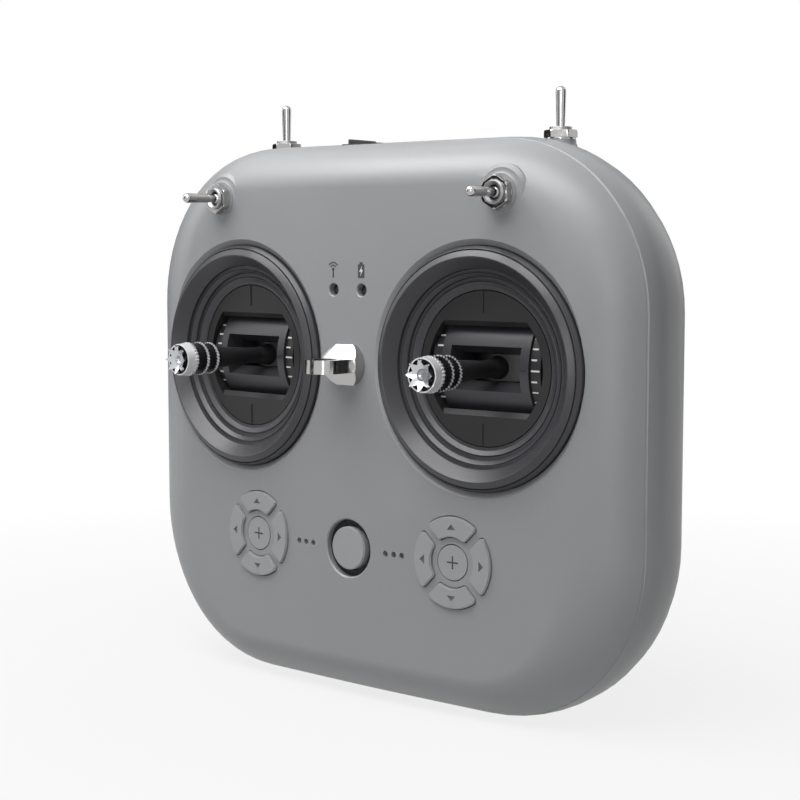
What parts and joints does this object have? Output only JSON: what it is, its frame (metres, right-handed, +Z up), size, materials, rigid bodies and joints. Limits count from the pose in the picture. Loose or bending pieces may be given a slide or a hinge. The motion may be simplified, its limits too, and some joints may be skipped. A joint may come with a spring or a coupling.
{
  "type": "radio transmitter controller",
  "caption": "Handheld radio transmitter with a pillow-shaped two-part shell, sprung stick gimbals, toggle switches, trim keys, a power button and a lanyard hook.",
  "frame": {"origin": "middle of the flat on the lower edge that the body stands on", "axes": "+Z up, +X to the right seen from the stick side, and the face with the sticks looks towards -Y"},
  "size_m": [0.1732, 0.0676, 0.1633],
  "materials": {
    "shell": "fine matte",
    "charcoal": "satin",
    "black": "satin",
    "stick_metal": "bright knurled",
    "chrome": "polished",
    "steel": "satin",
    "board": "satin",
    "lamp": "gloss",
    "rubber": "matte",
    "wrap": "gloss"
  },
  "bodies": {
    "housing": {"front_shell": "shell", "rear_shell": "shell", "left_bezel": "charcoal", "right_bezel": "charcoal", "left_faceplate": "black", "right_faceplate": "black", "left_gimbal_frame": "black", "right_gimbal_frame": "black", "left_gimbal_sensor": "board", "right_gimbal_sensor": "board", "gimbal_springs": "steel", "gimbal_screws": "steel", "front_left_switch": "steel", "front_right_switch": "steel", "top_left_switch": "steel", "top_right_switch": "steel", "switch_nuts": "chrome", "switch_washers": "chrome", "left_trim_cap": "shell", "right_trim_cap": "shell", "key_switches": "black", "power_ring": "black", "link_lamp": "lamp", "battery_lamp": "lamp", "lanyard_hook": "chrome", "hook_nut": "steel", "charge_socket": "steel", "main_board": "board", "lamp_board": "board", "radio_module": "board", "buzzer": "black", "battery": "wrap", "case_screws": "steel", "board_screws": "steel"},
    "left_drum_body": {"left_drum": "charcoal"},
    "left_stick_body": {"left_stick": "black", "left_stick_collar": "stick_metal", "left_stick_tip": "stick_metal"},
    "right_drum_body": {"right_drum": "charcoal"},
    "right_stick_body": {"right_stick": "black", "right_stick_collar": "stick_metal", "right_stick_tip": "stick_metal"},
    "front_left_lever_body": {"front_left_lever": "chrome"},
    "front_right_lever_body": {"front_right_lever": "chrome"},
    "top_left_lever_body": {"top_left_lever": "chrome"},
    "top_right_lever_body": {"top_right_lever": "chrome"},
    "left_trim_up_body": {"left_trim_up": "shell"},
    "left_trim_right_body": {"left_trim_right": "shell"},
    "left_trim_down_body": {"left_trim_down": "shell"},
    "left_trim_left_body": {"left_trim_left": "shell"},
    "right_trim_up_body": {"right_trim_up": "shell"},
    "right_trim_right_body": {"right_trim_right": "shell"},
    "right_trim_down_body": {"right_trim_down": "shell"},
    "right_trim_left_body": {"right_trim_left": "shell"},
    "power_button_body": {"power_button": "shell"},
    "port_cover_body": {"port_cover": "rubber"}
  },
  "joints": [
    {"name": "left_stick_pitch", "type": "hinge", "parent": "housing", "child": "left_drum_body", "pos_m": [-0.04078, 0.00352, 0.0913], "axis": [0.9984, -0.0559, 0], "range_deg": [-24, 24]},
    {"name": "left_stick_yaw", "type": "hinge", "parent": "left_drum_body", "child": "left_stick_body", "pos_m": [-0.04078, 0.00352, 0.0913], "axis": [0, 0, 1], "range_deg": [-24, 24], "stiffness_Nm_per_rad": 0.09},
    {"name": "right_stick_pitch", "type": "hinge", "parent": "housing", "child": "right_drum_body", "pos_m": [0.04078, 0.00352, 0.0913], "axis": [0.9984, 0.0559, 0], "range_deg": [-24, 24], "stiffness_Nm_per_rad": 0.09},
    {"name": "right_stick_yaw", "type": "hinge", "parent": "right_drum_body", "child": "right_stick_body", "pos_m": [0.04078, 0.00352, 0.0913], "axis": [0, 0, 1], "range_deg": [-24, 24], "stiffness_Nm_per_rad": 0.09},
    {"name": "front_left_throw", "type": "hinge", "parent": "housing", "child": "front_left_lever_body", "pos_m": [-0.04951, -0.01972, 0.1356], "axis": [0.9984, -0.0567, 0], "range_deg": [-12, 12]},
    {"name": "front_right_throw", "type": "hinge", "parent": "housing", "child": "front_right_lever_body", "pos_m": [0.04951, -0.01972, 0.1356], "axis": [0.9984, 0.0567, 0], "range_deg": [-12, 12]},
    {"name": "top_left_throw", "type": "hinge", "parent": "housing", "child": "top_left_lever_body", "pos_m": [-0.0491, 0.0079, 0.1509], "axis": [1, 0, 0], "range_deg": [-12, 12]},
    {"name": "top_right_throw", "type": "hinge", "parent": "housing", "child": "top_right_lever_body", "pos_m": [0.0491, 0.0079, 0.1509], "axis": [1, 0, 0], "range_deg": [-12, 12]},
    {"name": "left_trim_up_press", "type": "slide", "parent": "housing", "child": "left_trim_up_body", "axis": [0.0545, 0.9985, 0], "range_m": [0, 0.0008], "stiffness_N_per_m": 2000},
    {"name": "left_trim_right_press", "type": "slide", "parent": "housing", "child": "left_trim_right_body", "axis": [0.0545, 0.9985, 0], "range_m": [0, 0.0008], "stiffness_N_per_m": 2000},
    {"name": "left_trim_down_press", "type": "slide", "parent": "housing", "child": "left_trim_down_body", "axis": [0.0545, 0.9985, 0], "range_m": [0, 0.0008], "stiffness_N_per_m": 2000},
    {"name": "left_trim_left_press", "type": "slide", "parent": "housing", "child": "left_trim_left_body", "axis": [0.0545, 0.9985, 0], "range_m": [0, 0.0008], "stiffness_N_per_m": 2000},
    {"name": "right_trim_up_press", "type": "slide", "parent": "housing", "child": "right_trim_up_body", "axis": [-0.0545, 0.9985, 0], "range_m": [0, 0.0008], "stiffness_N_per_m": 2000},
    {"name": "right_trim_right_press", "type": "slide", "parent": "housing", "child": "right_trim_right_body", "axis": [-0.0545, 0.9985, 0], "range_m": [0, 0.0008], "stiffness_N_per_m": 2000},
    {"name": "right_trim_down_press", "type": "slide", "parent": "housing", "child": "right_trim_down_body", "axis": [-0.0545, 0.9985, 0], "range_m": [0, 0.0008], "stiffness_N_per_m": 2000},
    {"name": "right_trim_left_press", "type": "slide", "parent": "housing", "child": "right_trim_left_body", "axis": [-0.0545, 0.9985, 0], "range_m": [0, 0.0008], "stiffness_N_per_m": 2000},
    {"name": "power_press", "type": "slide", "parent": "housing", "child": "power_button_body", "axis": [0, 1, 0], "range_m": [0, 0.0008], "stiffness_N_per_m": 2000},
    {"name": "port_cover_lift", "type": "hinge", "parent": "housing", "child": "port_cover_body", "pos_m": [-0.002, 0, 0.1503], "axis": [0, 1, 0], "range_deg": [0, 100]}
  ]
}
